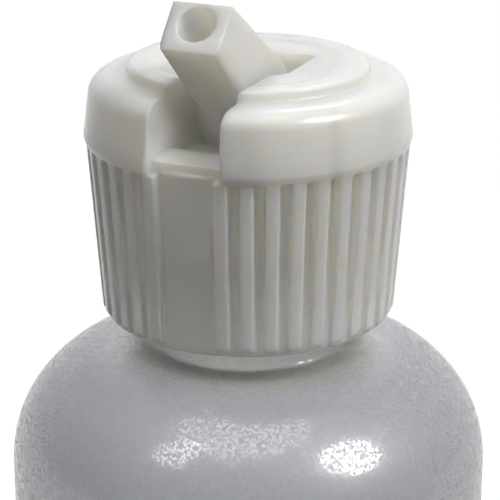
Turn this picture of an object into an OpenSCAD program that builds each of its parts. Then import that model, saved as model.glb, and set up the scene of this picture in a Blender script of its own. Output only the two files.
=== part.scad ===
// Squeeze bottle with a flip-up spout cap. Millimetres, +Z up.
// The origin is the centre of the bottle's foot, and the spout points towards -Y.
// The spout is drawn half raised, as it stands when no one has pressed it shut.

/* [Bottle] */
// Outer diameter of the body
bottle_d = 39; // [34:0.5:46]
// Height from the foot to the rim of the neck
bottle_h = 86.9; // [75:0.1:110]
// Wall of the blown body
bottle_wall = 1; // [0.7:0.1:1.6]
// Radius of the heel
heel_r = 3; // [2:0.25:5]
// Width of the flat ring that the bottle stands on
foot_w = 3; // [2:0.25:5]
// Height of the hollow pushed up inside the foot
push_up = 1.6; // [0.8:0.1:3]
// Height of the rounded shoulder
shoulder_h = 11; // [8:0.5:16]
// Fullness of the shoulder, 2 being an ellipse
shoulder_power = 2.15; // [1.8:0.05:2.6]

/* [Neck] */
// Diameter of the neck under its thread
neck_d = 17.5; // [16:0.1:20]
// Height of the thread above the neck
thread_h = 1.1; // [0.8:0.05:1.3]
// Wall of the neck
neck_wall = 2; // [1.4:0.1:2.4]
// Rise of the thread in one turn
thread_pitch = 3.175; // [3:0.025:3.6]
// Turns of thread on the neck
neck_turns = 1.5; // [1:0.25:1.75]
// From the rim down to the middle of the thread's upper end
thread_start = 1.7; // [1.4:0.1:2.2]
// Radius where the neck runs into the shoulder
neck_root_r = 2; // [0.6:0.1:2.4]

/* [Liner] */
// Thickness of the sealing ring
liner_t = 0.8; // [0.5:0.1:1.5]
// Gap on each flat face of the sealing ring
liner_fit = 0.05; // [0.02:0.01:0.1]

/* [Cap skirt] */
// Height of the ribbed skirt, up to the band
skirt_h = 14.2; // [12:0.1:18]
// Wall of the skirt between the ribs, at its foot
skirt_wall = 1.35; // [1.1:0.05:2]
// How far the skirt widens from its foot to the band
skirt_flare = 0.3; // [0.1:0.05:0.6]
// Places round the skirt for a rib
rib_places = 40; // [24:2:48]
// Width of a rib
rib_w = 1.12; // [0.8:0.02:1.3]
// How far a rib stands out at its foot
rib_foot = 0.3; // [0.2:0.05:0.6]
// How far a rib stands out at the band, from the foot of the skirt
rib_top = 1.3; // [1:0.05:1.4]
// Plain ring under the ribs
rib_start = 0.65; // [0.4:0.05:1.5]
// Width of the smooth panel under the spout
panel_w = 4.1; // [3.4:0.1:4.3]
// How far the panel stands out under the band
panel_out = 0.6; // [0.45:0.05:0.8]
// Gap between the crest of the neck's thread and the skirt
thread_gap = 0.3; // [0.2:0.05:0.45]
// Turns of thread in the cap
cap_turns = 1.25; // [0.75:0.25:1.5]
// Gap over the cap's thread, where it pulls up against the neck's thread
thread_play = 0.15; // [0.1:0.01:0.25]

/* [Cap top] */
// How far the band stands out from the foot of the skirt
band_out = 1.5; // [1.45:0.05:2.2]
// Height of the band, from the ribs to the ring round the disc
band_h = 5.3; // [4.6:0.1:7]
// Height of the bevel under the band
band_lip = 0.5; // [0.3:0.05:0.8]
// How much the band draws in towards its top
band_taper = 0.42; // [0.2:0.02:0.7]
// Width of the band's rounded top edge
corner_w = 1.8; // [1.2:0.1:2.2]
// Height of the band's rounded top edge
corner_h = 1.5; // [1:0.1:2]
// Diameter of the raised disc
disc_d = 19; // [16:0.5:20]
// Height of the raised disc over the ring round it
disc_h = 0.9; // [0.5:0.05:1.4]
// Width of the flat rim round the dished middle of the disc
disc_rim = 1.7; // [1:0.1:2.5]
// Depth of the dished middle
dish = 0.2; // [0.1:0.05:0.4]
// Thickness of the top, over the hollows in it
deck_t = 1.3; // [1:0.1:1.8]

/* [Cap inside] */
// Wall of the plug that fits the mouth of the bottle
plug_wall = 0.85; // [0.6:0.05:1.2]
// How far the plug reaches into the mouth
plug_reach = 2.4; // [1.5:0.1:4]
// Gap between the plug and the mouth
plug_fit = 0.06; // [0.03:0.01:0.1]
// Thickness of the ribs that back the sealing ring
stay_w = 0.9; // [0.6:0.1:1.4]
// Angle between these ribs
stay_step = 30; // [20:5:60]
// How far these ribs reach below the box round the slot
stay_foot = 0.1; // [0.05:0.05:0.3]

/* [Slot] */
// Gap on each side of the spout in its slot
slot_gap = 0.5; // [0.3:0.05:0.9]
// How much wider the pocket behind the slot is, on each side
pocket_step = 1.2; // [0.8:0.1:1.5]
// From the bottle's axis forward to the front of the pocket
pocket_front = 1.9; // [1.4:0.1:2.4]
// From the bottle's axis back to the rear wall of the pocket
pocket_back = 4.3; // [4:0.1:5]
// Bevel along the top edges of the slot
slot_bevel = 0.35; // [0.2:0.05:0.5]
// Wall of the box round the slot and the pocket
slot_wall = 1.5; // [1.2:0.1:2]
// Length of the ledge that the closed spout lies on, along the slot
ledge_run = 3.6; // [2.5:0.1:4.5]
// From the band in to the front edge of the ledge
notch_in = 1.2; // [1.1:0.1:1.8]
// Drop from the ledge to the lip of the panel
lip_drop = 0.7; // [0.4:0.05:0.75]
// Depth of the slot behind the ledge, below the ledge
slot_drop = 1; // [0.5:0.1:1.3]

/* [Spout] */
// Width of the spout
spout_w = 4.8; // [4:0.1:5.4]
// Height of the spout's end face
spout_h = 4.12; // [3.8:0.02:4.6]
// Radius of the round hub that the spout turns on
hub_r = 3.7; // [3.4:0.05:4.1]
// From the bottle's axis forward to the hinge
pivot_out = 0.5; // [0.1:0.1:0.8]
// Height of the hinge over the skirt
pivot_up = 2.7; // [2.4:0.1:3.1]
// Radius of the spout's bore, which runs through the hinge's axis
bore_r = 1.5; // [1:0.05:1.6]
// How far the middle of the end face lies under the bore
tip_drop = 0.3; // [0:0.05:0.4]
// Height of the bevel along the spout's lower edges
under_bevel_h = 0.9; // [0.4:0.1:1.4]
// Width of that bevel
under_bevel_w = 0.25; // [0.1:0.05:0.5]
// Radius of the hinge pins
pin_r = 1.3; // [0.9:0.05:1.4]
// Depth of each hinge pin in the wall of the pocket
pin_seat = 0.8; // [0.5:0.1:0.9]
// Gap round each hinge pin
pin_fit = 0.05; // [0.03:0.01:0.1]
// Gap between the hub and its cradle
hub_fit = 0.05; // [0.03:0.01:0.1]
// Gap under the closed spout
close_gap = 0.05; // [0.03:0.01:0.1]
// Angle of the closed spout over the level
close_angle = 5.5; // [4.5:0.1:6.5]
// Angle of the spout over the level, as drawn
spout_angle = 42.7; // [20:0.1:70]
// Radius of the orifice under the hub
orifice_r = 1.2; // [0.8:0.05:1.3]
// Thickness of the floor under the hub
cradle_t = 0.7; // [0.6:0.1:1.2]

/* [Hidden] */
$fn = 96;

// Overshoot of a cut past the face it opens
over = 1;
// Depth that one solid is rooted in another
root = 0.4;
// Bevel along the cap's smaller edges
edge = 0.2;

// Bottle
body_r = bottle_d / 2;
neck_r = neck_d / 2;
mouth_r = neck_r - neck_wall;
thread_r = neck_r + thread_h;
// The shoulder's curve is struck from a circle just inside the mouth
crown_in = 0.75;
crown_r = mouth_r - crown_in;
shoulder_steps = 22;
heel_steps = 6;
// The hollow under the foot has a steep edge, this wide, that climbs most of its height
hollow_edge = 2;
hollow_share = 0.85;
rim_bevel = 0.3;
mouth_bevel = 0.2;
// The sealing ring ends a little short of the neck's thread
liner_r = thread_r - 0.1;
// The neck's root is an arc that ends at the shoulder's slope there
root_tilt = 14;
root_steps = 8;
root_foot_r = neck_r + neck_root_r * (1 - sin(root_tilt));

// Cap, measured from the foot of its skirt
bore_in_r = thread_r + thread_gap;
skirt_r = bore_in_r + skirt_wall;
band_r = skirt_r + band_out;
band_top_r = band_r - band_taper;
ring_z = skirt_h + band_h;
disc_r = disc_d / 2;
disc_z = ring_z + disc_h;
dish_z = disc_z - dish;
pivot_z = skirt_h + pivot_up;
cradle_r = hub_r + hub_fit;
block_z = pivot_z - cradle_r - cradle_t;
seat_z = block_z - stay_foot;
ledge_front = band_r - notch_in;
ledge_back = ledge_front - ledge_run;
// The spout's underside and its top at the end face, from the axis of its bore
under_h = spout_h / 2 + tip_drop;
top_h = spout_h / 2 - tip_drop;
// The closed spout lies on the back edge of the ledge
ledge_z = pivot_z + (ledge_back - pivot_out) * tan(close_angle) - (under_h + close_gap) / cos(close_angle);
lip_z = ledge_z - lip_drop;
slot_z = ledge_z - slot_drop;
// The slot's mouth is cut this far past the underside of the band
mouth_sink = 0.05;
slot_w = spout_w + 2 * slot_gap;
pocket_w = slot_w + 2 * pocket_step;
// The pocket's floor just clears the hinge pins
pin_clear = 0.3;
pocket_z = pivot_z - pin_r - pin_clear;
plug_r = mouth_r - plug_fit;
corner_steps = 6;
// The dished middle of the disc has a sloping edge, this wide
dish_slope = 0.4;
// The first of the ribs that back the sealing ring, counted from the slot
stay_first = 60;
// The lip under the band reaches this far past the ribs
rib_cover = 0.05;
// Places for a rib that the panel takes up
panel_places = 2;

// Where the cap sits, and how the shoulder clears it
cap_z = bottle_h + liner_t + 2 * liner_fit - seat_z;
shoulder_gap = 2.57;
shoulder_meet_z = cap_z - shoulder_gap;

// The body is straight up to the height where the shoulder starts
function rise(r, reach, height) =
    height * pow(1 - pow((r - crown_r) / (reach - crown_r), shoulder_power), 1 / shoulder_power);
shoulder_z = shoulder_meet_z - rise(thread_r, body_r, shoulder_h);

// Height of the centre that the neck's root is struck from
root_z = shoulder_z + rise(root_foot_r, body_r, shoulder_h) + neck_root_r * cos(root_tilt);

function reverse(points) = [for (i = [len(points) - 1 : -1 : 0]) points[i]];

// Points up the shoulder, from the body in to radius stop_r
function shoulder(reach, height, stop_r) =
    let (last = acos(pow((stop_r - crown_r) / (reach - crown_r), shoulder_power / 2)))
    [for (i = [0 : shoulder_steps])
        let (t = last * i / shoulder_steps)
        [crown_r + (reach - crown_r) * pow(cos(t), 2 / shoulder_power),
         shoulder_z + height * pow(sin(t), 2 / shoulder_power)]];

// Points along an elliptical quarter, from angle a0 to a1
function arc(cx, cz, rx, rz, a0, a1, steps) =
    [for (i = [0 : steps])
        let (a = a0 + (a1 - a0) * i / steps)
        [cx + rx * cos(a), cz + rz * sin(a)]];

// Thread
thread_steps = 48;
thread_ramp = 5;
thread_base = 1;
thread_crest = 0.45;
cap_thread_base = 0.85;
cap_thread_crest = 0.4;
cap_thread_gap = 0.25;
cap_thread_r = neck_r + cap_thread_gap;
neck_thread_z = bottle_h - thread_start - thread_pitch * neck_turns;
// The cap's thread lies under the neck's, and starts a little before it
cap_thread_lead = 0.1;
cap_thread_drop = (thread_crest + cap_thread_base + thread_base + cap_thread_crest) / 2 + thread_play;

// A ridge of one helix. side is 1 when it stands outwards and -1 when it stands inwards.
module thread(wall_r, crest_r, base_hw, crest_hw, z0, u0, turns, side) {
    steps = round(turns * thread_steps);
    profile_count = 4;
    function fade(i) = min(1, i / thread_ramp, (steps - i) / thread_ramp);
    function at(i, r, dz) =
        let (u = u0 + i / thread_steps)
        [r * cos(360 * u), r * sin(360 * u), z0 + thread_pitch * u + dz];
    function ring(i) =
        let (tip_r = wall_r - side * root / 2 + (crest_r - wall_r + side * root / 2) * fade(i))
        [at(i, wall_r - side * root, -base_hw), at(i, tip_r, -crest_hw),
         at(i, tip_r, crest_hw), at(i, wall_r - side * root, base_hw)];
    points = [for (i = [0 : steps]) each ring(i)];
    last = steps * profile_count;
    sides = [for (i = [0 : steps - 1], k = [0 : profile_count - 1])
        let (a = i * profile_count, next = (k + 1) % profile_count)
        [a + k, a + next, a + profile_count + next, a + profile_count + k]];
    caps = [[3, 2, 1, 0], [last, last + 1, last + 2, last + 3]];
    faces = concat(sides, caps);
    polyhedron(points, side > 0 ? faces : [for (f = faces) [for (k = [len(f) - 1 : -1 : 0]) f[k]]]);
}

// Blown bottle, one piece
module bottle_outline() {
    foot_in = body_r - heel_r - foot_w;
    polygon(concat(
        [[0, push_up], [foot_in - hollow_edge, push_up * hollow_share], [foot_in, 0]],
        arc(body_r - heel_r, heel_r, heel_r, heel_r, -90, 0, heel_steps),
        shoulder(body_r, shoulder_h, root_foot_r),
        arc(neck_r + neck_root_r, root_z, neck_root_r, neck_root_r,
            270 - root_tilt * (root_steps - 1) / root_steps, 180, root_steps),
        [[neck_r, bottle_h - rim_bevel], [neck_r - rim_bevel, bottle_h],
         [mouth_r + mouth_bevel, bottle_h], [mouth_r, bottle_h - mouth_bevel]],
        reverse(shoulder(body_r - bottle_wall, shoulder_h - bottle_wall, mouth_r)),
        reverse(arc(body_r - heel_r, heel_r, heel_r - bottle_wall, heel_r - bottle_wall,
                    -90, 0, heel_steps)),
        [[foot_in, bottle_wall],
         [foot_in - hollow_edge, push_up * hollow_share + bottle_wall],
         [0, push_up + bottle_wall]]));
}

module bottle() {
    color([0.82, 0.85, 0.88]) {
        rotate_extrude() bottle_outline();
        thread(neck_r, thread_r, thread_base, thread_crest, neck_thread_z, 0, neck_turns, 1);
    }
}

// Soft ring between the rim of the neck and the cap
module liner() {
    color([0.95, 0.95, 0.93])
    translate([0, 0, bottle_h + liner_fit])
    rotate_extrude()
    translate([mouth_r + mouth_bevel, 0])
    square([liner_r - mouth_r - mouth_bevel, liner_t]);
}

// The cap's outer shape, filled, from its axis
module cap_outline() {
    polygon(concat(
        [[0, 0], [skirt_r - edge, 0], [skirt_r, edge],
         [skirt_r + skirt_flare, skirt_h], [skirt_r + rib_top + rib_cover, skirt_h],
         [band_r, skirt_h + band_lip]],
        arc(band_top_r - corner_w, ring_z - corner_h, corner_w, corner_h, 0, 90, corner_steps),
        [[disc_r, ring_z], [disc_r, disc_z - edge], [disc_r - edge, disc_z],
         [disc_r - disc_rim, disc_z], [disc_r - disc_rim - dish_slope, dish_z], [0, dish_z]]));
}

// The hollows in the cap: round the plug, and inside it
module cap_hollows() {
    plug_z = seat_z - liner_t - plug_reach;
    high_r = disc_r - deck_t;
    high_z = dish_z - deck_t;
    low_z = ring_z - deck_t;
    polygon([[plug_r, plug_z], [0, plug_z], [0, -over], [bore_in_r, -over], [bore_in_r, low_z],
             [high_r, low_z], [high_r, high_z], [plug_r, high_z]]);
    translate([0, plug_z - over])
    square([plug_r - plug_wall, high_z - plug_z + over]);
}

// The block that the slot and the pocket are cut in
module slot_block() {
    block_w = slot_w + 2 * slot_wall;
    nest_w = pocket_w + 2 * slot_wall;
    back = pocket_back + slot_wall;
    translate([-block_w / 2, -band_r, block_z])
    cube([block_w, band_r, disc_z]);
    translate([-nest_w / 2, -pivot_out - hub_r, block_z])
    cube([nest_w, pivot_out + hub_r + back, disc_z]);
}

// Ribs that back the sealing ring, clear of the slot's block
module stays() {
    for (a = [stay_first : stay_step : 360 - stay_first])
        rotate([0, 0, a - 90])
        translate([plug_r - plug_wall / 2, -stay_w / 2, seat_z])
        cube([bore_in_r - plug_r + plug_wall / 2 + root, stay_w, ring_z - deck_t - seat_z + root]);
}

// One rib of the skirt, on the +X side
module rib() {
    rotate([90, 0, 0])
    linear_extrude(rib_w, center = true)
    polygon([[skirt_r - root, rib_start - rib_foot], [skirt_r, rib_start - rib_foot],
             [skirt_r + rib_foot, rib_start], [skirt_r + rib_top, skirt_h],
             [skirt_r + rib_top - edge, skirt_h + edge], [skirt_r - root, skirt_h + edge]]);
}

// Smooth panel under the spout, in place of two ribs
module panel() {
    spread = 2 * asin(panel_w / 2 / (skirt_r + panel_out));
    rotate([0, 0, -90 - spread / 2])
    rotate_extrude(angle = spread)
    polygon([[skirt_r - root, rib_start], [skirt_r, rib_start - edge],
             [skirt_r + panel_out, lip_z - edge], [skirt_r + panel_out - edge, lip_z],
             [skirt_r - root, lip_z]]);
}

// Cross-section of the slot, with its top edges bevelled
module channel(width, floor_z, y0, y1) {
    translate([0, -y0, 0])
    rotate([90, 0, 0])
    linear_extrude(y1 - y0)
    polygon([[-width / 2, floor_z], [width / 2, floor_z],
             [width / 2, disc_z - slot_bevel], [width / 2 + slot_bevel + over, disc_z + over],
             [-width / 2 - slot_bevel - over, disc_z + over], [-width / 2, disc_z - slot_bevel]]);
}

// All that is cut from the cap for the spout
module slot_cut() {
    channel(slot_w, slot_z, pivot_out, ledge_back);
    channel(slot_w, ledge_z, ledge_back - over, ledge_front + over);
    channel(slot_w, skirt_h - mouth_sink, ledge_front, band_r + over);
    channel(pocket_w, pocket_z, -pocket_back, pocket_front);
    translate([0, -pivot_out, pivot_z])
    rotate([0, 90, 0]) {
        cylinder(r = cradle_r, h = slot_w, center = true);
        cylinder(r = pin_r + pin_fit, h = pocket_w + 2 * (pin_seat + pin_fit), center = true);
    }
    translate([0, -pivot_out, block_z - over])
    cylinder(r = orifice_r, h = pivot_z - block_z);
}

// Moulded cap, one piece
module cap() {
    color([0.94, 0.94, 0.92])
    translate([0, 0, cap_z]) {
        difference() {
            union() {
                difference() {
                    rotate_extrude() cap_outline();
                    rotate_extrude() cap_hollows();
                }
                intersection() {
                    rotate_extrude() cap_outline();
                    slot_block();
                }
                stays();
                for (k = [1 : rib_places - panel_places])
                    rotate([0, 0, -90 + 180 / rib_places + 360 / rib_places * k]) rib();
            }
            slot_cut();
        }
        // The panel's top is the lip of the slot
        panel();
        translate([0, 0, -cap_z])
        thread(bore_in_r, cap_thread_r, cap_thread_base, cap_thread_crest,
               neck_thread_z - cap_thread_drop, -cap_thread_lead, cap_turns, -1);
    }
}

// Side of the spout, with its axis along +X and the hinge at the origin
module spout_side() {
    reach = band_r - pivot_out;
    // The top face leaves the hub as a tangent and ends at the top of the end face
    touch = atan2(top_h, reach) + acos(hub_r / norm([reach, top_h]));
    polygon([[0, 0], [hub_r * cos(touch), hub_r * sin(touch)], [reach, top_h],
             [reach, -under_h], [0, -under_h]]);
}

// Section of the spout, bevelled along its lower edges
module spout_section() {
    polygon([[-spout_w / 2, hub_r + over], [-spout_w / 2, under_bevel_h - under_h],
             [under_bevel_w - spout_w / 2, -under_h], [spout_w / 2 - under_bevel_w, -under_h],
             [spout_w / 2, under_bevel_h - under_h], [spout_w / 2, hub_r + over]]);
}

// Spout with its hub and its two hinge pins, one piece
module spout() {
    reach = band_r - pivot_out;
    pin_reach = pocket_w + 2 * pin_seat;
    color([0.95, 0.95, 0.94])
    translate([0, -pivot_out, cap_z + pivot_z])
    rotate([-spout_angle, 0, 0])
    difference() {
        union() {
            intersection() {
                rotate([90, 0, -90]) linear_extrude(spout_w, center = true) spout_side();
                rotate([90, 0, 0]) linear_extrude(reach + over) spout_section();
            }
            rotate([0, 90, 0]) cylinder(r = hub_r, h = spout_w, center = true);
            rotate([0, 90, 0]) cylinder(r = pin_r, h = pin_reach, center = true);
        }
        translate([0, hub_r + over, 0])
        rotate([90, 0, 0])
        cylinder(r = bore_r, h = hub_r + reach + 2 * over);
    }
}

bottle();
liner();
cap();
spout();
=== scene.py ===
import math

import bmesh
import bpy
from mathutils import Matrix, Vector


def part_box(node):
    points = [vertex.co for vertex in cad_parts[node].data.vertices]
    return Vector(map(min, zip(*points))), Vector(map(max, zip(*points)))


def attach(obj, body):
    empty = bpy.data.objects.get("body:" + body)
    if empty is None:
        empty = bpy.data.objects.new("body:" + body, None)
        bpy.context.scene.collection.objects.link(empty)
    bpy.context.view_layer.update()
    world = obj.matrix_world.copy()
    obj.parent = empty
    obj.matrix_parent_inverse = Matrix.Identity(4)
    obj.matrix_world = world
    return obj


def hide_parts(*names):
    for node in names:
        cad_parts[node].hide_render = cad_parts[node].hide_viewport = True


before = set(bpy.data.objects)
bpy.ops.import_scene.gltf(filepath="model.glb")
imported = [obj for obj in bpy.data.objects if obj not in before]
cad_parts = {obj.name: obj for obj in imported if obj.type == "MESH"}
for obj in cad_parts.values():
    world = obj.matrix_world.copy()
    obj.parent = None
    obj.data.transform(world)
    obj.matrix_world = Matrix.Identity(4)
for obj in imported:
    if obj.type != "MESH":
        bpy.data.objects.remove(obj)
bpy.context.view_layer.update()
scene = bpy.context.scene
metre = 0.001  # pieces are modelled in millimetres and brought to metres when they are done
roundSteps = 240  # steps of a full turn
above = 30.0  # height that a cut reaches up to, clear of the cap's top


# camera

cameraView = {
    "lens": 145.3,
    "sensor": 36,
    "place": (0.06014, -0.1410, 0.13514),
    "pitch": 19.756,
    "turn": 23.05,
}


def placeCamera():
    data = bpy.data.cameras.new("photoCamera")
    data.lens = cameraView["lens"]
    data.sensor_width = cameraView["sensor"]
    data.clip_start = 0.01
    camera = bpy.data.objects.new("photoCamera", data)
    scene.collection.objects.link(camera)
    camera.location = cameraView["place"]
    camera.rotation_euler = (math.radians(90 - cameraView["pitch"]), 0, math.radians(cameraView["turn"]))
    scene.camera = camera


placeCamera()
print("camera placed")


# modelling helpers

def addLine(bm, points):
    verts = [bm.verts.new(p) for p in points]
    edges = [bm.edges.new(pair) for pair in zip(verts, verts[1:])]
    return verts + edges


def arcPoints(centre, radii, start, end, steps):
    angles = [math.radians(start + (end - start) * i / steps) for i in range(steps + 1)]
    return [(centre[0] + radii[0] * math.cos(a), centre[1] + radii[1] * math.sin(a)) for a in angles]


def spunSolid(profile, steps=roundSteps):
    bm = bmesh.new()
    line = addLine(bm, [(r, 0, z) for r, z in profile])
    bmesh.ops.spin(bm, geom=line, cent=(0, 0, 0), axis=(0, 0, 1), angle=math.tau,
                   steps=steps, use_merge=True)
    bmesh.ops.remove_doubles(bm, verts=bm.verts, dist=0.0005)
    bmesh.ops.recalc_face_normals(bm, faces=bm.faces)
    return bm


def prism(outline, depth, plane="plan", start=0.0):  # an outline drawn in one plane and pulled straight
    bm = bmesh.new()
    place = {
        "plan": lambda a, b: (a, b, start),
        "side": lambda a, b: (start, a, b),
        "front": lambda a, b: (a, start, b),
    }[plane]
    way = {"plan": (0, 0, depth), "side": (depth, 0, 0), "front": (0, depth, 0)}[plane]
    face = bm.faces.new([bm.verts.new(place(a, b)) for a, b in outline])
    pulled = bmesh.ops.extrude_face_region(bm, geom=[face])["geom"]
    bmesh.ops.translate(bm, vec=way, verts=[v for v in pulled if isinstance(v, bmesh.types.BMVert)])
    bmesh.ops.recalc_face_normals(bm, faces=bm.faces)
    return bm


def box(low, high):
    bm = bmesh.new()
    size = [b - a for a, b in zip(low, high)]
    middle = [(a + b) / 2 for a, b in zip(low, high)]
    bmesh.ops.create_cube(bm, size=1, matrix=Matrix.Translation(middle) @ Matrix.Diagonal((*size, 1)))
    return bm


def rod(radius, length, centre, turn=Matrix(), segments=96):
    bm = bmesh.new()
    bmesh.ops.create_cone(bm, cap_ends=True, segments=segments, radius1=radius, radius2=radius,
                          depth=length, matrix=Matrix.Translation(centre) @ turn)
    return bm


def bevelWhere(bm, test, offset, segments):
    edges = [e for e in bm.edges if test(*[v.co for v in e.verts])]
    bmesh.ops.bevel(bm, geom=edges, offset=offset, segments=segments, affect="EDGES",
                    profile=0.5, material=-1)


def addObject(name, bm):
    mesh = bpy.data.meshes.new(name)
    bm.to_mesh(mesh)
    bm.free()
    piece = bpy.data.objects.new(name, mesh)
    scene.collection.objects.link(piece)
    return piece


def applyModifiers(piece):
    seen = piece.evaluated_get(bpy.context.evaluated_depsgraph_get())
    done = bpy.data.meshes.new_from_object(seen)
    old = piece.data
    piece.modifiers.clear()
    piece.data = done
    bpy.data.meshes.remove(old)


def combine(piece, bm, operation):
    tool = addObject("tool", bm)
    step = piece.modifiers.new("step", "BOOLEAN")
    step.operation = operation
    step.solver = "MANIFOLD"
    step.object = tool
    applyModifiers(piece)
    mesh = tool.data
    bpy.data.objects.remove(tool)
    bpy.data.meshes.remove(mesh)


def mergedMeshes(bms):
    whole = bmesh.new()
    for bm in bms:
        mesh = bpy.data.meshes.new("part")
        bm.to_mesh(mesh)
        bm.free()
        whole.from_mesh(mesh)
        bpy.data.meshes.remove(mesh)
    return whole


def fuse(piece, looks):  # one skin over the overlapping solids, its edges eased as a mould leaves them
    skin = piece.modifiers.new("skin", "REMESH")
    skin.mode = "VOXEL"
    skin.voxel_size = looks["voxel"] * 1
    ease = piece.modifiers.new("ease", "SMOOTH")
    ease.factor = 0.5
    ease.iterations = looks["softness"]
    applyModifiers(piece)
    made = 2 * len(piece.data.polygons)
    if made > looks["triangles"]:
        thin = piece.modifiers.new("thin", "DECIMATE")
        thin.ratio = looks["triangles"] / made
        applyModifiers(piece)
    print(f"{piece.name}: {made} triangles, kept {len(piece.data.polygons)}")


def finishPiece(piece, material, place=Matrix()):  # metres, smooth shading and the material
    piece.data.transform(Matrix.Scale(metre, 4) @ place)
    piece.data.shade_smooth()
    piece.data.materials.clear()
    piece.data.materials.append(material)


def sizeOf(node):
    low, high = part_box(node)
    return [c / metre for c in low], [c / metre for c in high]


bottleLow, bottleHigh = sizeOf("bottle")
capLow, capHigh = sizeOf("cap")
capFoot = capLow[2]


# materials

def nodeMaker(tree):
    def make(kind, **values):
        node = tree.nodes.new(kind)
        for key, value in values.items():
            if key in node.inputs:
                node.inputs[key].default_value = value
            else:
                setattr(node, key, value)
        return node
    return make


def makeMouldGrain():  # slight ripple of a moulded or blown skin, its cloudiness, and stray flecks of dust
    group = bpy.data.node_groups.new("mouldGrain", "ShaderNodeTree")
    for name, kind, value in (("Vector", "NodeSocketVector", None), ("Ripple", "NodeSocketFloat", 400),
                              ("Grain", "NodeSocketFloat", 2500), ("Grain Share", "NodeSocketFloat", 0.5),
                              ("Cloud", "NodeSocketFloat", 120), ("Fleck", "NodeSocketFloat", 260),
                              ("Fleck Size", "NodeSocketFloat", 0.03)):
        socket = group.interface.new_socket(name, in_out="INPUT", socket_type=kind)
        if value is not None:
            socket.default_value = value
    for name in ("Height", "Cloudiness", "Speckle", "Flecks"):
        group.interface.new_socket(name, in_out="OUTPUT", socket_type="NodeSocketFloat")
    make = nodeMaker(group)
    link = group.links.new
    source = make("NodeGroupInput")
    out = make("NodeGroupOutput")
    waves = make("ShaderNodeTexNoise", Detail=1.0, Roughness=0.4)
    peel = make("ShaderNodeTexNoise", Detail=2.0, Roughness=0.5)
    cloud = make("ShaderNodeTexNoise", Detail=3.0, Roughness=0.55)
    dust = make("ShaderNodeTexVoronoi", feature="F1")
    blend = make("ShaderNodeMix", data_type="FLOAT")
    near = make("ShaderNodeMath", operation="LESS_THAN")
    for texture, scale in ((waves, "Ripple"), (peel, "Grain"), (cloud, "Cloud"), (dust, "Fleck")):
        link(source.outputs["Vector"], texture.inputs["Vector"])
        link(source.outputs[scale], texture.inputs["Scale"])
    link(source.outputs["Grain Share"], blend.inputs["Factor"])
    link(waves.outputs["Fac"], blend.inputs["A"])
    link(peel.outputs["Fac"], blend.inputs["B"])
    link(dust.outputs["Distance"], near.inputs[0])
    link(source.outputs["Fleck Size"], near.inputs[1])
    link(blend.outputs["Result"], out.inputs["Height"])
    link(cloud.outputs["Fac"], out.inputs["Cloudiness"])
    link(peel.outputs["Fac"], out.inputs["Speckle"])
    link(near.outputs[0], out.inputs["Flecks"])
    return group


mouldGrain = makeMouldGrain()


def plasticMaterial(name, looks):  # gloss plastic whose colour drifts a little between two tones
    material = bpy.data.materials.new(name)
    material.use_nodes = True
    tree = material.node_tree
    tree.nodes.clear()
    make = nodeMaker(tree)
    link = tree.links.new
    out = make("ShaderNodeOutputMaterial")
    skin = make("ShaderNodeBsdfPrincipled")
    for socket, value in looks["shader"].items():
        skin.inputs[socket].default_value = value
    where = make("ShaderNodeTexCoord")
    grain = make("ShaderNodeGroup")
    grain.node_tree = mouldGrain
    for socket, value in looks["grain"].items():
        grain.inputs[socket].default_value = value
    tones = make("ShaderNodeMix", data_type="RGBA")
    tones.inputs["A"].default_value = (*looks["tones"][0], 1)
    tones.inputs["B"].default_value = (*looks["tones"][1], 1)
    dusted = make("ShaderNodeMix", data_type="RGBA")
    dusted.inputs["B"].default_value = (*looks["dust"], 1)
    gloss = make("ShaderNodeMapRange")
    gloss.inputs["To Min"].default_value = looks["gloss"][0]
    gloss.inputs["To Max"].default_value = looks["gloss"][1]
    bump = make("ShaderNodeBump")
    bump.inputs["Strength"].default_value = looks["bump"][0]
    bump.inputs["Distance"].default_value = looks["bump"][1]
    link(where.outputs["Object"], grain.inputs["Vector"])
    link(grain.outputs["Cloudiness"], tones.inputs["Factor"])
    link(grain.outputs["Flecks"], dusted.inputs["Factor"])
    base = tones.outputs["Result"]
    # painted light: a lighter, warmer base colour under the cap, where the cap's shade falls
    if "paintedLight" in looks:
        base = tintWithPaintedLight(make, link, where, base, looks["paintedLight"])
    link(base, dusted.inputs["A"])
    link(dusted.outputs["Result"], skin.inputs["Base Color"])
    link(grain.outputs["Speckle"], gloss.inputs["Value"])
    link(gloss.outputs["Result"], skin.inputs["Roughness"])
    if "coat" in looks:  # its shine is broken up into sparkles
        shine = make("ShaderNodeMapRange", **looks["coat"])
        link(grain.outputs["Speckle"], shine.inputs["Value"])
        link(shine.outputs["Result"], skin.inputs["Coat Weight"])
    link(grain.outputs["Height"], bump.inputs["Height"])
    link(bump.outputs["Normal"], skin.inputs["Normal"])
    link(skin.outputs["BSDF"], out.inputs["Surface"])
    return material


def tintWithPaintedLight(make, link, where, base, paintedLight):  # painted light: the base colour is lighter and warmer near the axis, under the cap where its shade falls, as if light glowed through there, and falls to the body's plain tone outward
    flat = make("ShaderNodeVectorMath", operation="MULTIPLY")
    flat.inputs[1].default_value = (1, 1, 0)
    length = make("ShaderNodeVectorMath", operation="LENGTH")
    reach = make("ShaderNodeMapRange")
    reach.inputs["From Max"].default_value = paintedLight["reach"]
    ramp = make("ShaderNodeValToRGB")
    ramp.color_ramp.interpolation = "EASE"
    stops = ramp.color_ramp.elements
    while len(stops) < len(paintedLight["stops"]):
        stops.new(1.0)
    for stop, (radius, tint) in zip(stops, paintedLight["stops"]):
        stop.position = radius / paintedLight["reach"]
        stop.color = (*tint, 1)
    tinted = make("ShaderNodeMix", data_type="RGBA", blend_type="MULTIPLY")
    tinted.inputs["Factor"].default_value = 1
    link(where.outputs["Object"], flat.inputs[0])
    link(flat.outputs[0], length.inputs[0])
    link(length.outputs["Value"], reach.inputs["Value"])
    link(reach.outputs["Result"], ramp.inputs["Fac"])
    link(base, tinted.inputs["A"])
    link(ramp.outputs["Color"], tinted.inputs["B"])
    return tinted.outputs["Result"]


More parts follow.
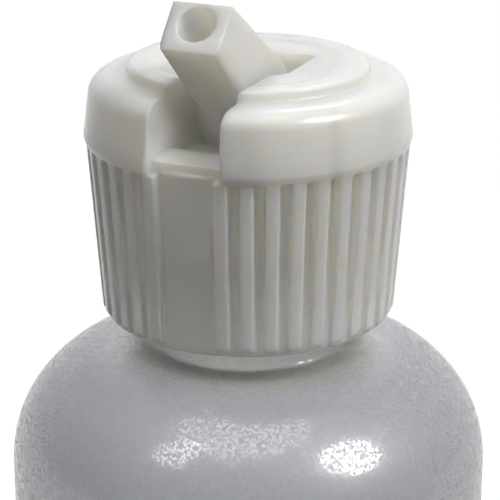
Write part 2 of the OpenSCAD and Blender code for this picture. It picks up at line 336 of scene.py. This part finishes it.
capLooks = {
    "tones": ((0.93, 0.92, 0.87), (0.95, 0.94, 0.9)),
    "dust": (0.45, 0.42, 0.38),
    "gloss": (0.15, 0.22),
    "bump": (0.5, 0.00001),
    "grain": {"Ripple": 350, "Grain": 3000, "Grain Share": 0.25, "Cloud": 180,
              "Fleck": 210, "Fleck Size": 0.02},
    "shader": {"IOR": 1.49, "Specular IOR Level": 0.35, "Subsurface Weight": 1.0,
               "Subsurface Radius": (1.0, 0.92, 0.6), "Subsurface Scale": 0.003,
               "Transmission Weight": 0.38},
}
spoutLooks = {**capLooks, "shader": {**capLooks["shader"], "Transmission Weight": 0.42}}
bottleLooks = {
    "tones": ((0.94, 0.95, 0.98), (0.96, 0.97, 1.0)),
    "dust": (0.4, 0.39, 0.37),
    "gloss": (0.4, 0.5),
    "coat": {"From Min": 0.46, "From Max": 0.56, "To Min": 0.05, "To Max": 1.0},
    "bump": (1.0, 0.00004),
    "grain": {"Ripple": 900, "Grain": 3800, "Grain Share": 0.5, "Cloud": 60,
              "Fleck": 120, "Fleck Size": 0.012},
    # painted light: the base is lighter and warmer near the neck, where the cap's shade falls, and falls to
    # the body's plain tone outward
    "paintedLight": {"reach": 0.02, "stops": ((0.0, (1, 0.98, 0.9)), (0.0106, (1, 0.98, 0.91)),
                                       (0.0116, (0.82, 0.82, 0.84)), (0.0135, (0.67, 0.67, 0.68)),
                                       (0.0155, (0.67, 0.67, 0.68)))},
    "shader": {"IOR": 1.51, "Specular IOR Level": 0.1, "Transmission Weight": 0.9,
               "Coat Roughness": 0.12, "Coat IOR": 1.7},
}
sealLooks = {
    "tones": ((0.84, 0.84, 0.82), (0.9, 0.9, 0.88)),
    "dust": (0.7, 0.7, 0.68),
    "gloss": (0.6, 0.8),
    "bump": (0.6, 0.00004),
    "grain": {"Ripple": 1500, "Grain": 5000, "Grain Share": 0.7, "Cloud": 900},
    "shader": {"IOR": 1.45, "Subsurface Weight": 0.1, "Subsurface Scale": 0.001},
}
capPlastic = plasticMaterial("capPlastic", capLooks)
spoutPlastic = plasticMaterial("spoutPlastic", spoutLooks)
bottlePlastic = plasticMaterial("bottlePlastic", bottleLooks)
sealFoam = plasticMaterial("sealFoam", sealLooks)
print("materials made")


# bottle

bottle = {
    "radius": bottleHigh[0],
    "height": bottleHigh[2],
    "wall": 1.0,
    "heel": 3.0,
    "footWidth": 3.0,
    "pushUp": 1.6,
    "hollowEdge": 2.0,
    "shoulder": 11.0,
    "power": 2.15,
    "crown": 6.0,
    "neck": 8.75,
    "neckWall": 2.0,
    "rimEdge": 0.3,
    "mouthEdge": 0.2,
    "root": 2.0,
    "rootTilt": 14,
    "meet": 2.57,
    "threadHeight": 1.1,
    "threadBase": 1.0,
    "threadTip": 0.45,
    "threadStart": 1.7,
    "pitch": 3.175,
    "turns": 1.5,
}
threadFoot = bottle["height"] - bottle["threadStart"] - bottle["pitch"] * bottle["turns"]
sunk = 0.4  # how deep one solid is rooted in another


def shoulderRise(r, reach, height):
    share = (r - bottle["crown"]) / (reach - bottle["crown"])
    return height * (1 - share ** bottle["power"]) ** (1 / bottle["power"])


def shoulderCurve(start, reach, height, stop, steps=40):  # from the straight body in to radius stop
    share = (stop - bottle["crown"]) / (reach - bottle["crown"])
    last = math.acos(share ** (bottle["power"] / 2))
    turns = [last * i / steps for i in range(steps + 1)]
    return [(bottle["crown"] + (reach - bottle["crown"]) * math.cos(t) ** (2 / bottle["power"]),
             start + height * math.sin(t) ** (2 / bottle["power"])) for t in turns]


def screwRidge(wall, crest, base, tip, start, lead, turns, stepsPerTurn=64):  # spun up its helix
    bm = bmesh.new()
    corners = [(wall, -base), (crest, -tip), (crest, tip), (wall, base)]
    face = bm.faces.new([bm.verts.new((r, 0, start + z)) for r, z in corners])
    turn = Matrix.Rotation(lead * math.tau, 3, "Z")
    bmesh.ops.rotate(bm, cent=(0, 0, 0), matrix=turn, verts=bm.verts)
    bmesh.ops.translate(bm, vec=(0, 0, lead * bottle["pitch"]), verts=bm.verts)
    bmesh.ops.spin(bm, geom=[*bm.verts, *bm.edges, face], cent=(0, 0, 0), axis=(0, 0, 1),
                   dvec=(0, 0, bottle["pitch"] / stepsPerTurn), angle=turns * math.tau,
                   steps=round(turns * stepsPerTurn))
    bmesh.ops.recalc_face_normals(bm, faces=bm.faces)
    return bm


def bottleOutside(shoulderFoot, footIn, mouth):
    b = bottle
    tilt = math.radians(b["rootTilt"])
    rootFoot = b["neck"] + b["root"] * (1 - math.sin(tilt))
    rootRise = shoulderRise(rootFoot, b["radius"], b["shoulder"])
    rootCentre = shoulderFoot + rootRise + b["root"] * math.cos(tilt)
    hollow = footIn - b["hollowEdge"]
    return (
        [(0, b["pushUp"]), (hollow * 0.6, b["pushUp"] * 0.95), (hollow, b["pushUp"] * 0.85),
         (hollow + 0.8, b["pushUp"] * 0.6), (footIn - 0.4, b["pushUp"] * 0.1), (footIn, 0)]
        + arcPoints((b["radius"] - b["heel"], b["heel"]), (b["heel"], b["heel"]), -90, 0, 16)
        + [(b["radius"], b["heel"] + (shoulderFoot - b["heel"]) * i / 8) for i in range(1, 8)]
        + shoulderCurve(shoulderFoot, b["radius"], b["shoulder"], rootFoot)
        + arcPoints((b["neck"] + b["root"], rootCentre), (b["root"], b["root"]),
                    270 - b["rootTilt"], 180, 14)[1:]
        + arcPoints((b["neck"] - b["rimEdge"], b["height"] - b["rimEdge"]), (b["rimEdge"],) * 2, 0, 90, 5)
        + arcPoints((mouth + b["mouthEdge"], b["height"] - b["mouthEdge"]), (b["mouthEdge"],) * 2,
                    90, 180, 4)
    )


def bottleInside(shoulderFoot, footIn, mouth):
    b = bottle
    inner, innerHeight = b["radius"] - b["wall"], b["shoulder"] - b["wall"]
    return (
        shoulderCurve(shoulderFoot, inner, innerHeight, mouth)[::-1]
        + [(inner, b["heel"] + (shoulderFoot - b["heel"]) * i / 8) for i in range(7, 0, -1)]
        + arcPoints((b["radius"] - b["heel"], b["heel"]), (b["heel"] - b["wall"],) * 2, 0, -90, 10)
        + [(footIn, b["wall"]), (footIn - b["hollowEdge"], b["pushUp"] * 0.85 + b["wall"]),
           (0, b["pushUp"] + b["wall"])]
    )


def makeBottle():
    b = bottle
    threadOuter = b["neck"] + b["threadHeight"]
    shoulderFoot = capFoot - b["meet"] - shoulderRise(threadOuter, b["radius"], b["shoulder"])
    mouth = b["neck"] - b["neckWall"]
    footIn = b["radius"] - b["heel"] - b["footWidth"]
    wall = bottleOutside(shoulderFoot, footIn, mouth) + bottleInside(shoulderFoot, footIn, mouth)
    piece = addObject("bottleBody", spunSolid(wall))
    ridge = screwRidge(b["neck"] - sunk, threadOuter, b["threadBase"], b["threadTip"],
                       threadFoot, 0, b["turns"])
    combine(piece, ridge, "UNION")
    finishPiece(piece, bottlePlastic)
    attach(piece, "bottle")
    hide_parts("bottle")


makeBottle()
print("bottle made")


# sealing ring between the neck's rim and the cap

seal = {"edge": 0.12, "steps": 160}


def makeSeal():
    low, high = sizeOf("liner")
    inner = bottle["neck"] - bottle["neckWall"] + bottle["mouthEdge"]
    bm = spunSolid([(inner, low[2]), (high[0], low[2]), (high[0], high[2]), (inner, high[2]),
                    (inner, low[2])], seal["steps"])
    bevelWhere(bm, lambda p, q: abs(p.z - q.z) < 0.001, seal["edge"], 3)
    piece = addObject("sealRing", bm)
    finishPiece(piece, sealFoam)
    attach(piece, "seal")
    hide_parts("liner")


makeSeal()
print("sealing ring made")


# spout, drawn level with its hinge at the origin and its tip towards -Y

spout = {
    "width": 4.8,
    "top": 1.76,
    "under": 2.36,
    "hub": 3.7,
    "hubEdge": 0.15,
    "bore": 1.5,
    "lowerEdge": (0.25, 0.9),
    "pin": 1.3,
    "pinSeat": 0.8,
    "hingeOut": 0.5,
    "hingeUp": 2.7,
    "angle": 42.7,
    "closedAngle": 5.5,
    "closedGap": 0.05,
    "pocketHalf": 4.1,
    "voxel": 0.07,
    "quickVoxel": 2,
    "softness": 4,
    "triangles": 160000,
}
skirtTop = 14.2
hingeHeight = skirtTop + spout["hingeUp"]
layAcross = Matrix.Rotation(math.pi / 2, 4, "Y")
layAlong = Matrix.Rotation(math.pi / 2, 4, "X")


def spoutSection():  # the lower edges are rounded in a quarter ellipse
    s = spout
    wide, tall = s["lowerEdge"]
    half = s["width"] / 2
    right = arcPoints((half - wide, tall - s["under"]), (wide, tall), -90, 0, 8)
    outline = right + [(half, 0), (half + 1, 0), (half + 1, s["hub"] + 1)]
    return outline + [(-x, z) for x, z in outline[::-1]]


def makeSpout():
    s = spout
    reach = capHigh[0] - s["hingeOut"]
    half = s["width"] / 2
    touch = math.atan2(s["top"], reach) + math.acos(s["hub"] / math.hypot(reach, s["top"]))
    side = [(0, -s["under"]), (0, 0), (-s["hub"] * math.cos(touch), s["hub"] * math.sin(touch)),
            (-reach, s["top"]), (-reach, -s["under"])]
    piece = addObject("flipSpout", prism(side, s["width"], "side", -half))
    combine(piece, prism(spoutSection(), reach + 2, "front", -reach - 1), "INTERSECT")
    hub = rod(s["hub"], s["width"], (0, 0, 0), layAcross, 160)
    bevelWhere(hub, lambda p, q: abs(p.x - q.x) < 0.001, s["hubEdge"], 3)
    combine(piece, hub, "UNION")
    combine(piece, rod(s["pin"], 2 * (s["pocketHalf"] + s["pinSeat"]), (0, 0, 0), layAcross, 64), "UNION")
    combine(piece, rod(s["bore"], 2 * (reach + 2), (0, 0, 0), layAlong, 96), "DIFFERENCE")
    fuse(piece, s)
    place = (Matrix.Translation((0, -s["hingeOut"], capFoot + hingeHeight))
             @ Matrix.Rotation(math.radians(-s["angle"]), 4, "X"))
    finishPiece(piece, spoutPlastic, place)
    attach(piece, "spout")
    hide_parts("spout")


makeSpout()
print("spout made")


# cap, from the foot of its skirt

cap = {
    "skirt": 11.5,
    "flare": 0.3,
    "footEdge": 0.2,
    "ribReach": 1.3,
    "band": capHigh[0],
    "bandTaper": 0.42,
    "bandLip": 0.5,
    "ring": 19.5,
    "corner": (1.8, 1.5),
    "disc": 9.5,
    "discTop": 20.4,
    "discEdge": 0.3,
    "discFoot": (0.35, 0.25),
    "discRim": 1.7,
    "dish": 0.2,
    "dishSlope": 0.8,
    "deck": 1.3,
    "bore": 10.15,
    "plug": 6.69,
    "plugWall": 0.85,
    "plugReach": 2.4,
    "plugEdge": 0.3,
    "sealRoom": 0.8,
    "seat": 12.35,
    "ribPlaces": 40,
    "ribWidth": 1.12,
    "ribFoot": 0.3,
    "ribStart": 0.65,
    "ribEdge": 0.14,
    "panelHalf": 9.8,
    "panelOut": 0.6,
    "panelEdge": 0.22,
    "slotHalf": 2.9,
    "slotDrop": 1.0,
    "ledgeFront": 11.8,
    "ledgeBack": 8.2,
    "lipDrop": 0.7,
    "mouthSink": 0.05,
    "pocketFront": 1.9,
    "pocketBack": 4.3,
    "pocketSlant": 1.2,
    "pocketCorner": 0.6,
    "slotEdge": 0.35,
    "slotCorner": 0.4,
    "boxWall": 1.5,
    "hubGap": 0.05,
    "cradleFloor": 0.7,
    "pinGap": 0.05,
    "pinClear": 0.3,
    "orifice": 1.2,
    "stayWidth": 0.9,
    "stayFirst": 60,
    "stayStep": 30,
    "threadCrest": 9.0,
    "threadBase": 0.85,
    "threadTip": 0.4,
    "threadTurns": 1.25,
    "threadDrop": 1.5,
    "threadLead": 0.1,
    "voxel": 0.1,
    "quickVoxel": 2.2,
    "softness": 4,
    "triangles": 195000,
}


def ledgeHeight():  # the closed spout lies on the back edge of the ledge
    rise = math.radians(spout["closedAngle"])
    run = cap["ledgeBack"] - spout["hingeOut"]
    return hingeHeight + run * math.tan(rise) - (spout["under"] + spout["closedGap"]) / math.cos(rise)


ledge = ledgeHeight()


def capOutline():
    c = cap
    top = c["band"] - c["bandTaper"]
    rimIn = c["disc"] - c["discRim"]
    dishTop = c["discTop"] - c["dish"]
    foot = c["discFoot"]
    return (
        [(0, 0), (c["skirt"] - c["footEdge"], 0), (c["skirt"], c["footEdge"]),
         (c["skirt"] + c["flare"], skirtTop), (c["skirt"] + c["ribReach"] + c["mouthSink"], skirtTop),
         (c["band"], skirtTop + c["bandLip"])]
        + arcPoints((top - c["corner"][0], c["ring"] - c["corner"][1]), c["corner"], 0, 90, 16)
        + arcPoints((c["disc"] + foot[0], c["ring"] + foot[1]), foot, 270, 180, 4)
        + arcPoints((c["disc"] - c["discEdge"], c["discTop"] - c["discEdge"]), (c["discEdge"],) * 2,
                    0, 90, 5)
        + [(rimIn, c["discTop"]), (rimIn - c["dishSlope"], dishTop), (0, dishTop)]
    )


def capHollow():  # round the plug and inside it
    c = cap
    plugFoot = c["seat"] - c["sealRoom"] - c["plugReach"]
    high = c["discTop"] - c["dish"] - c["deck"]
    low = c["ring"] - c["deck"]
    edge = c["plugEdge"]
    plugIn = c["plug"] - c["plugWall"]
    return [(0, -1), (c["bore"], -1), (c["bore"], low), (c["disc"] - c["deck"], low),
            (c["disc"] - c["deck"], high), (c["plug"], high), (c["plug"], plugFoot + edge),
            (c["plug"] - edge, plugFoot), (plugIn + edge, plugFoot), (plugIn, plugFoot + edge),
            (plugIn, high), (0, high)]


def slotBlock():  # solid round the slot and the pocket
    c = cap
    foot = hingeHeight - spout["hub"] - c["hubGap"] - c["cradleFloor"]
    half = c["slotHalf"] + c["boxWall"]
    nest = spout["pocketHalf"] + c["boxWall"]
    front = spout["hingeOut"] + spout["hub"]
    back = c["pocketBack"] + c["boxWall"]
    right = [(half, -c["band"] - 1), (half, -front), (nest, -front), (nest, back)]
    return prism(right + [(-x, y) for x, y in right[::-1]], above - foot, "plan", foot)


def frontCut(low, back):  # slot's plan where it leaves through the band, with its corners rounded
    c = cap
    half, corner = c["slotHalf"], c["slotCorner"]
    side = half + corner
    out = math.sqrt((c["band"] - corner) ** 2 - side ** 2)
    end = math.degrees(math.atan2(out, side))
    curve = arcPoints((side, out), (corner, corner), 180, end, 6)
    tip = (curve[-1][0] + 1, curve[-1][1] - side / out)
    right = [(half, back)] + curve + [tip, (tip[0], c["band"] + 2)]
    plan = right + [(-x, y) for x, y in right[::-1]]
    return prism([(x, -y) for x, y in plan], above - low, "plan", low)


def pocketCut():  # the wider pocket behind the slot, narrowing to it
    c = cap
    half, front, slant = spout["pocketHalf"], c["pocketFront"], c["pocketSlant"]
    right = [(half, c["pocketBack"]), (half, -front), (c["slotHalf"], -front - slant)]
    floor = hingeHeight - spout["pin"] - c["pinClear"]
    bm = prism(right + [(-x, y) for x, y in right[::-1]], above - floor, "plan", floor)
    bevelWhere(bm, lambda p, q: abs(p.z - q.z) > 1 and min(p.y, q.y) > -front - slant / 2,
               c["pocketCorner"], 5)
    return bm


def edgeCut():  # rounds the slot's top edges
    c = cap
    edge, half = c["slotEdge"], c["slotHalf"]
    left = [(-half - edge, c["discTop"] + 1)]
    left += [(-x, z) for x, z in arcPoints((half + edge, c["discTop"] - edge), (edge, edge), 90, 180, 5)]
    run = c["disc"] + 2
    return prism(left + [(-x, z) for x, z in left[::-1]], run - c["pocketFront"], "front", -run)


def skirtRibs():
    c = cap
    foot = c["ribStart"] - c["ribFoot"]
    side = [(c["skirt"] - sunk, foot), (c["skirt"], foot), (c["skirt"] + c["ribFoot"], c["ribStart"]),
            (c["skirt"] + c["ribReach"], skirtTop), (c["skirt"] - sunk, skirtTop)]
    bm = prism(side, c["ribWidth"], "front", -c["ribWidth"] / 2)
    bevelWhere(bm, lambda p, q: abs(p.y - q.y) < 0.001 and min(p.x, q.x) > c["skirt"] + 0.02,
               c["ribEdge"], 3)
    ribs = []
    for place in range(1, c["ribPlaces"] - 1):
        copy = bm.copy()
        turn = Matrix.Rotation(math.tau * (place + 0.5) / c["ribPlaces"] - math.pi / 2, 3, "Z")
        bmesh.ops.rotate(copy, cent=(0, 0, 0), matrix=turn, verts=copy.verts)
        ribs.append(copy)
    bm.free()
    return ribs


def skirtPanel():  # smooth panel under the spout, whose top is the lip of the slot
    c = cap
    out, top, edge = c["skirt"] + c["panelOut"], ledge - c["lipDrop"], c["panelEdge"]
    side = ([(c["skirt"] - sunk, c["ribStart"]), (c["skirt"], c["ribStart"] - c["footEdge"])]
            + arcPoints((out - edge, top - edge), (edge, edge), 0, 90, 4) + [(c["skirt"] - sunk, top)])
    bm = bmesh.new()
    start = bm.faces.new([bm.verts.new((r, 0, z)) for r, z in side])
    half = math.radians(c["panelHalf"])
    bmesh.ops.rotate(bm, cent=(0, 0, 0), verts=bm.verts, matrix=Matrix.Rotation(-math.pi / 2 - half, 3, "Z"))
    bmesh.ops.spin(bm, geom=[*bm.verts, *bm.edges, start], cent=(0, 0, 0), axis=(0, 0, 1),
                   angle=2 * half, steps=16)
    bmesh.ops.recalc_face_normals(bm, faces=bm.faces)
    return bm


def sealStays():  # thin ribs that back the sealing ring
    c = cap
    stays = []
    for place in range(c["stayFirst"], 361 - c["stayFirst"], c["stayStep"]):
        stay = box((c["plug"] - c["plugWall"] / 2, -c["stayWidth"] / 2, c["seat"]),
                   (c["bore"] + sunk, c["stayWidth"] / 2, c["ring"] - c["deck"] + sunk))
        bmesh.ops.rotate(stay, cent=(0, 0, 0), verts=stay.verts,
                         matrix=Matrix.Rotation(math.radians(place - 90), 3, "Z"))
        stays.append(stay)
    return stays


def makeCap():
    c = cap
    piece = addObject("dispensingCap", spunSolid(capOutline()))
    hollow = addObject("hollow", spunSolid(capHollow(), 160))
    combine(hollow, slotBlock(), "DIFFERENCE")
    hollowMesh = bmesh.new()
    hollowMesh.from_mesh(hollow.data)
    combine(piece, hollowMesh, "DIFFERENCE")
    bpy.data.objects.remove(hollow)

    hinge = (0, -spout["hingeOut"], hingeHeight)
    cradle = spout["hub"] + c["hubGap"]
    socketReach = spout["pocketHalf"] + spout["pinSeat"] + c["pinGap"]
    cuts = [
        box((-c["slotHalf"], -c["ledgeBack"], ledge - c["slotDrop"]),
            (c["slotHalf"], -spout["hingeOut"], above)),
        frontCut(ledge, c["ledgeBack"] - 1),
        frontCut(skirtTop - c["mouthSink"], c["ledgeFront"]),
        pocketCut(),
        edgeCut(),
        rod(cradle, 2 * c["slotHalf"], hinge, layAcross, 128),
        rod(spout["pin"] + c["pinGap"], 2 * socketReach, hinge, layAcross, 48),
        rod(c["orifice"], 2 * cradle, (0, -spout["hingeOut"], hingeHeight - cradle), Matrix(), 48),
    ]
    for cut in cuts:
        combine(piece, cut, "DIFFERENCE")
    print("cap cut")

    thread = screwRidge(c["bore"] + sunk, c["threadCrest"], c["threadBase"], c["threadTip"],
                        threadFoot - capFoot - c["threadDrop"], -c["threadLead"], c["threadTurns"])
    whole = mergedMeshes([*skirtRibs(), skirtPanel(), *sealStays(), thread])
    whole.from_mesh(piece.data)
    whole.to_mesh(piece.data)
    whole.free()
    fuse(piece, c)
    finishPiece(piece, capPlastic, Matrix.Translation((0, 0, capFoot)))
    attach(piece, "cap")
    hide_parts("cap")


makeCap()
print("cap made")


# floor, light and background

studio = {
    "floorHalf": 3.0,
    "floorColour": (0.06, 0.06, 0.06),
    "floorRough": 0.9,
    "floorSheen": 0.1,
    "floorWhite": 0.97,
    "ambient": 0.03,
    "mirrorFront": 0.1,
    "mirrorBack": 1.0,
    "mirrorSpan": (-0.5, 0.7),
    "target": (0, 0, 0.085),
    "distance": 0.6,
}
warmWhite = (1, 0.99, 0.97)
peach = (1, 0.8, 0.62)
palePeach = (1, 0.93, 0.85)
lamps = {
    "lampLeft": {"turn": -122.4, "rise": 55.7, "level": 0.17, "size": (0.17, 0.26), "colour": warmWhite},
    "lampAbove": {"turn": -85.0, "rise": 84.0, "level": 0.46, "size": (0.5, 0.5), "colour": warmWhite},
    "lampRight": {"turn": -1.0, "rise": 43.1, "level": 0.84, "size": (0.3, 0.3), "colour": warmWhite},
    "lampBackLeft": {"turn": 127.7, "rise": 54.5, "level": 0.07, "size": (0.12, 0.12), "colour": (1, 1, 1)},
    "lampBack": {"turn": 99.5, "rise": 44.8, "level": 0.07, "size": (0.12, 0.12), "colour": (1, 1, 1)},
    "glowLeft": {"turn": -113.8, "rise": 46.5, "level": 0.012, "size": (0.08, 0.05), "colour": peach},
    "glowRight": {"turn": -9.3, "rise": 33.0, "level": 0.02, "size": (0.1, 0.06), "colour": peach},
    "glowBetween": {"turn": -68.0, "rise": 60.0, "level": 0.02, "size": (0.3, 0.1), "colour": palePeach},
}


def seenThrough(make, link):  # 1 straight on or through a clear body, and 1 in a reflection
    path = make("ShaderNodeLightPath")
    either = make("ShaderNodeMath", operation="MAXIMUM")
    link(path.outputs["Is Camera Ray"], either.inputs[0])
    link(path.outputs["Is Transmission Ray"], either.inputs[1])
    return either.outputs[0], path.outputs["Is Glossy Ray"]


def makeFloor():
    bm = bmesh.new()
    bmesh.ops.create_grid(bm, x_segments=1, y_segments=1, size=studio["floorHalf"])
    floor = addObject("floor", bm)
    material = bpy.data.materials.new("floorPaper")
    material.use_nodes = True
    tree = material.node_tree
    tree.nodes.clear()
    make = nodeMaker(tree)
    link = tree.links.new
    out = make("ShaderNodeOutputMaterial")
    paper = make("ShaderNodeBsdfPrincipled")
    paper.inputs["Base Color"].default_value = (*studio["floorColour"], 1)
    paper.inputs["Roughness"].default_value = studio["floorRough"]
    paper.inputs["Specular IOR Level"].default_value = studio["floorSheen"]
    glow = make("ShaderNodeEmission")
    glow.inputs["Strength"].default_value = studio["floorWhite"]
    both = make("ShaderNodeAddShader")
    choose = make("ShaderNodeMixShader")
    shown = make("ShaderNodeMath", operation="MAXIMUM")
    for place, socket in enumerate(seenThrough(make, link)):
        link(socket, shown.inputs[place])
    link(shown.outputs[0], choose.inputs["Fac"])
    link(paper.outputs["BSDF"], both.inputs[0])
    link(glow.outputs["Emission"], both.inputs[1])
    link(paper.outputs["BSDF"], choose.inputs[1])
    link(both.outputs["Shader"], choose.inputs[2])
    link(choose.outputs["Shader"], out.inputs["Surface"])
    floor.data.materials.append(material)


def makeWorld():  # white to the camera, dim to the object, and in its mirror dark in front and white behind
    world = bpy.data.worlds.new("studio")
    scene.world = world
    world.use_nodes = True
    tree = world.node_tree
    tree.nodes.clear()
    make = nodeMaker(tree)
    link = tree.links.new
    out = make("ShaderNodeOutputWorld")
    soft = make("ShaderNodeBackground")
    soft.inputs["Color"].default_value = (1, 1, 1, 1)
    soft.inputs["Strength"].default_value = studio["ambient"]
    white = make("ShaderNodeBackground")
    white.inputs["Color"].default_value = (1, 1, 1, 1)
    mirrored = make("ShaderNodeBackground")
    mirrored.inputs["Color"].default_value = (1, 1, 1, 1)
    where = make("ShaderNodeTexCoord")
    split = make("ShaderNodeSeparateXYZ")
    behind = make("ShaderNodeMapRange")
    behind.inputs["From Min"].default_value = studio["mirrorSpan"][0]
    behind.inputs["From Max"].default_value = studio["mirrorSpan"][1]
    behind.inputs["To Min"].default_value = studio["mirrorFront"]
    behind.inputs["To Max"].default_value = studio["mirrorBack"]
    first = make("ShaderNodeMixShader")
    second = make("ShaderNodeMixShader")
    through, glossy = seenThrough(make, link)
    link(where.outputs["Generated"], split.inputs["Vector"])
    link(split.outputs["Y"], behind.inputs["Value"])
    link(behind.outputs["Result"], mirrored.inputs["Strength"])
    link(glossy, first.inputs["Fac"])
    link(soft.outputs["Background"], first.inputs[1])
    link(mirrored.outputs["Background"], first.inputs[2])
    link(through, second.inputs["Fac"])
    link(first.outputs["Shader"], second.inputs[1])
    link(white.outputs["Background"], second.inputs[2])
    link(second.outputs["Shader"], out.inputs["Surface"])


def makeLamps():
    target = Vector(studio["target"])
    for name, lamp in lamps.items():
        turn, rise = math.radians(lamp["turn"]), math.radians(lamp["rise"])
        way = Vector((math.cos(rise) * math.cos(turn), math.cos(rise) * math.sin(turn), math.sin(rise)))
        data = bpy.data.lights.new(name, "AREA")
        data.shape = "ELLIPSE"
        data.size, data.size_y = lamp["size"]
        data.color = lamp["colour"]
        # level is what a white surface facing the lamp would show
        data.energy = lamp["level"] * (math.pi * studio["distance"]) ** 2
        light = bpy.data.objects.new(name, data)
        scene.collection.objects.link(light)
        light.location = target + way * studio["distance"]
        light.rotation_euler = way.to_track_quat("Z", "Y").to_euler()


makeFloor()
makeWorld()
makeLamps()
scene.view_settings.view_transform = "Standard"
print("floor, light and background made")
